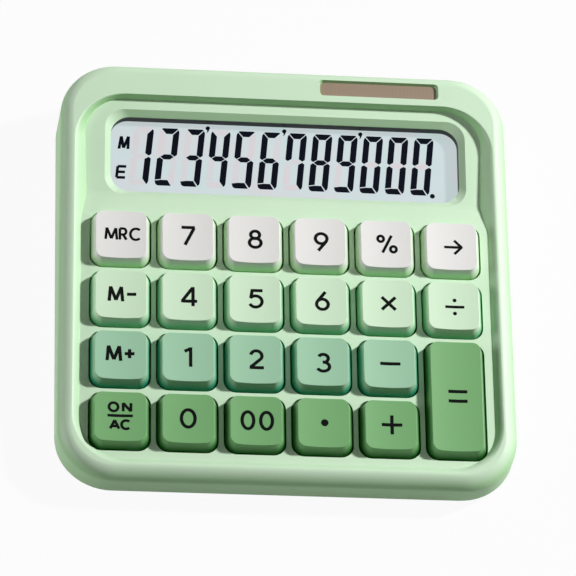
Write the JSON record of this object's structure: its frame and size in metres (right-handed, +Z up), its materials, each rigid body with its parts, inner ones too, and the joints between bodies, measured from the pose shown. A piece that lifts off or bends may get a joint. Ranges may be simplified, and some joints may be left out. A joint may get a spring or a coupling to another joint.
{
  "type": "desktop calculator",
  "caption": "Square wedge-shaped desktop calculator with sprung keyboard-style keys in a sunk deck, a wide digit display, a solar strip and a battery door.",
  "frame": {"origin": "under the middle of the case, on the surface it stands on", "axes": "+Z up, front edge and user towards -Y, +X to the user's right"},
  "size_m": [0.1378, 0.1392, 0.0261],
  "materials": {
    "case": "satin moulded, pale green",
    "base": "satin moulded, pale green",
    "black_plastic": "matte black",
    "lcd_glass": "pale grey liquid-crystal glass",
    "ribbon": "amber film",
    "solar_glass": "brown-grey cell under clear cover",
    "board": "green solder mask",
    "key_white": "satin moulded, white",
    "key_light_green": "satin moulded, light green",
    "key_teal_green": "satin moulded, teal green",
    "key_mid_green": "satin moulded, mid green",
    "stem_plastic": "moulded, natural white",
    "housing_plastic": "moulded, black",
    "dome_rubber": "translucent grey silicone",
    "screw_steel": "zinc plated",
    "foot_rubber": "matte black",
    "cell_wrap": "plain printed sleeve",
    "contact_steel": "nickel plated"
  },
  "bodies": {
    "case": {"top_case": "case", "bottom_case": "base", "display_frame": "black_plastic", "lcd_panel": "lcd_glass", "display_ribbon": "ribbon", "solar_cell": "solar_glass", "circuit_board": "board", "switch_housings": "housing_plastic", "rubber_domes": "dome_rubber", "screws": "screw_steel", "rubber_feet": "foot_rubber", "battery": "cell_wrap", "battery_contacts": "contact_steel"},
    "key_body_mrc": {"key_mrc": "key_white", "stem_mrc": "stem_plastic"},
    "key_body_7": {"key_7": "key_white", "stem_7": "stem_plastic"},
    "key_body_8": {"key_8": "key_white", "stem_8": "stem_plastic"},
    "key_body_9": {"key_9": "key_white", "stem_9": "stem_plastic"},
    "key_body_percent": {"key_percent": "key_white", "stem_percent": "stem_plastic"},
    "key_body_arrow": {"key_arrow": "key_white", "stem_arrow": "stem_plastic"},
    "key_body_m_minus": {"key_m_minus": "key_light_green", "stem_m_minus": "stem_plastic"},
    "key_body_4": {"key_4": "key_light_green", "stem_4": "stem_plastic"},
    "key_body_5": {"key_5": "key_light_green", "stem_5": "stem_plastic"},
    "key_body_6": {"key_6": "key_light_green", "stem_6": "stem_plastic"},
    "key_body_times": {"key_times": "key_light_green", "stem_times": "stem_plastic"},
    "key_body_divide": {"key_divide": "key_light_green", "stem_divide": "stem_plastic"},
    "key_body_m_plus": {"key_m_plus": "key_teal_green", "stem_m_plus": "stem_plastic"},
    "key_body_1": {"key_1": "key_teal_green", "stem_1": "stem_plastic"},
    "key_body_2": {"key_2": "key_teal_green", "stem_2": "stem_plastic"},
    "key_body_3": {"key_3": "key_teal_green", "stem_3": "stem_plastic"},
    "key_body_minus": {"key_minus": "key_teal_green", "stem_minus": "stem_plastic"},
    "key_body_equals": {"key_equals": "key_mid_green", "stem_equals": "stem_plastic"},
    "key_body_on_ac": {"key_on_ac": "key_mid_green", "stem_on_ac": "stem_plastic"},
    "key_body_0": {"key_0": "key_mid_green", "stem_0": "stem_plastic"},
    "key_body_00": {"key_00": "key_mid_green", "stem_00": "stem_plastic"},
    "key_body_point": {"key_point": "key_mid_green", "stem_point": "stem_plastic"},
    "key_body_plus": {"key_plus": "key_mid_green", "stem_plus": "stem_plastic"},
    "door": {"battery_door": "base"}
  },
  "joints": [
    {"name": "press_mrc", "type": "slide", "parent": "case", "child": "key_body_mrc", "axis": [0, 0.0958, -0.9954], "range_m": [0, 0.0025], "stiffness_N_per_m": 120, "springref_m": -0.0035, "deforming": ["rubber_domes"]},
    {"name": "press_7", "type": "slide", "parent": "case", "child": "key_body_7", "axis": [0, 0.0958, -0.9954], "range_m": [0, 0.0025], "stiffness_N_per_m": 120, "springref_m": -0.0035, "deforming": ["rubber_domes"]},
    {"name": "press_8", "type": "slide", "parent": "case", "child": "key_body_8", "axis": [0, 0.0958, -0.9954], "range_m": [0, 0.0025], "stiffness_N_per_m": 120, "springref_m": -0.0035, "deforming": ["rubber_domes"]},
    {"name": "press_9", "type": "slide", "parent": "case", "child": "key_body_9", "axis": [0, 0.0958, -0.9954], "range_m": [0, 0.0025], "stiffness_N_per_m": 120, "springref_m": -0.0035, "deforming": ["rubber_domes"]},
    {"name": "press_percent", "type": "slide", "parent": "case", "child": "key_body_percent", "axis": [0, 0.0958, -0.9954], "range_m": [0, 0.0025], "stiffness_N_per_m": 120, "springref_m": -0.0035, "deforming": ["rubber_domes"]},
    {"name": "press_arrow", "type": "slide", "parent": "case", "child": "key_body_arrow", "axis": [0, 0.0958, -0.9954], "range_m": [0, 0.0025], "stiffness_N_per_m": 120, "springref_m": -0.0035, "deforming": ["rubber_domes"]},
    {"name": "press_m_minus", "type": "slide", "parent": "case", "child": "key_body_m_minus", "axis": [0, 0.0958, -0.9954], "range_m": [0, 0.0025], "stiffness_N_per_m": 120, "springref_m": -0.0035, "deforming": ["rubber_domes"]},
    {"name": "press_4", "type": "slide", "parent": "case", "child": "key_body_4", "axis": [0, 0.0958, -0.9954], "range_m": [0, 0.0025], "stiffness_N_per_m": 120, "springref_m": -0.0035, "deforming": ["rubber_domes"]},
    {"name": "press_5", "type": "slide", "parent": "case", "child": "key_body_5", "axis": [0, 0.0958, -0.9954], "range_m": [0, 0.0025], "stiffness_N_per_m": 120, "springref_m": -0.0035, "deforming": ["rubber_domes"]},
    {"name": "press_6", "type": "slide", "parent": "case", "child": "key_body_6", "axis": [0, 0.0958, -0.9954], "range_m": [0, 0.0025], "stiffness_N_per_m": 120, "springref_m": -0.0035, "deforming": ["rubber_domes"]},
    {"name": "press_times", "type": "slide", "parent": "case", "child": "key_body_times", "axis": [0, 0.0958, -0.9954], "range_m": [0, 0.0025], "stiffness_N_per_m": 120, "springref_m": -0.0035, "deforming": ["rubber_domes"]},
    {"name": "press_divide", "type": "slide", "parent": "case", "child": "key_body_divide", "axis": [0, 0.0958, -0.9954], "range_m": [0, 0.0025], "stiffness_N_per_m": 120, "springref_m": -0.0035, "deforming": ["rubber_domes"]},
    {"name": "press_m_plus", "type": "slide", "parent": "case", "child": "key_body_m_plus", "axis": [0, 0.0958, -0.9954], "range_m": [0, 0.0025], "stiffness_N_per_m": 120, "springref_m": -0.0035, "deforming": ["rubber_domes"]},
    {"name": "press_1", "type": "slide", "parent": "case", "child": "key_body_1", "axis": [0, 0.0958, -0.9954], "range_m": [0, 0.0025], "stiffness_N_per_m": 120, "springref_m": -0.0035, "deforming": ["rubber_domes"]},
    {"name": "press_2", "type": "slide", "parent": "case", "child": "key_body_2", "axis": [0, 0.0958, -0.9954], "range_m": [0, 0.0025], "stiffness_N_per_m": 120, "springref_m": -0.0035, "deforming": ["rubber_domes"]},
    {"name": "press_3", "type": "slide", "parent": "case", "child": "key_body_3", "axis": [0, 0.0958, -0.9954], "range_m": [0, 0.0025], "stiffness_N_per_m": 120, "springref_m": -0.0035, "deforming": ["rubber_domes"]},
    {"name": "press_minus", "type": "slide", "parent": "case", "child": "key_body_minus", "axis": [0, 0.0958, -0.9954], "range_m": [0, 0.0025], "stiffness_N_per_m": 120, "springref_m": -0.0035, "deforming": ["rubber_domes"]},
    {"name": "press_equals", "type": "slide", "parent": "case", "child": "key_body_equals", "axis": [0, 0.0958, -0.9954], "range_m": [0, 0.0025], "stiffness_N_per_m": 120, "springref_m": -0.0035, "deforming": ["rubber_domes"]},
    {"name": "press_on_ac", "type": "slide", "parent": "case", "child": "key_body_on_ac", "axis": [0, 0.0958, -0.9954], "range_m": [0, 0.0025], "stiffness_N_per_m": 120, "springref_m": -0.0035, "deforming": ["rubber_domes"]},
    {"name": "press_0", "type": "slide", "parent": "case", "child": "key_body_0", "axis": [0, 0.0958, -0.9954], "range_m": [0, 0.0025], "stiffness_N_per_m": 120, "springref_m": -0.0035, "deforming": ["rubber_domes"]},
    {"name": "press_00", "type": "slide", "parent": "case", "child": "key_body_00", "axis": [0, 0.0958, -0.9954], "range_m": [0, 0.0025], "stiffness_N_per_m": 120, "springref_m": -0.0035, "deforming": ["rubber_domes"]},
    {"name": "press_point", "type": "slide", "parent": "case", "child": "key_body_point", "axis": [0, 0.0958, -0.9954], "range_m": [0, 0.0025], "stiffness_N_per_m": 120, "springref_m": -0.0035, "deforming": ["rubber_domes"]},
    {"name": "press_plus", "type": "slide", "parent": "case", "child": "key_body_plus", "axis": [0, 0.0958, -0.9954], "range_m": [0, 0.0025], "stiffness_N_per_m": 120, "springref_m": -0.0035, "deforming": ["rubber_domes"]},
    {"name": "door_slide", "type": "slide", "parent": "case", "child": "door", "axis": [0, -1, 0], "range_m": [0, 0.008]}
  ]
}
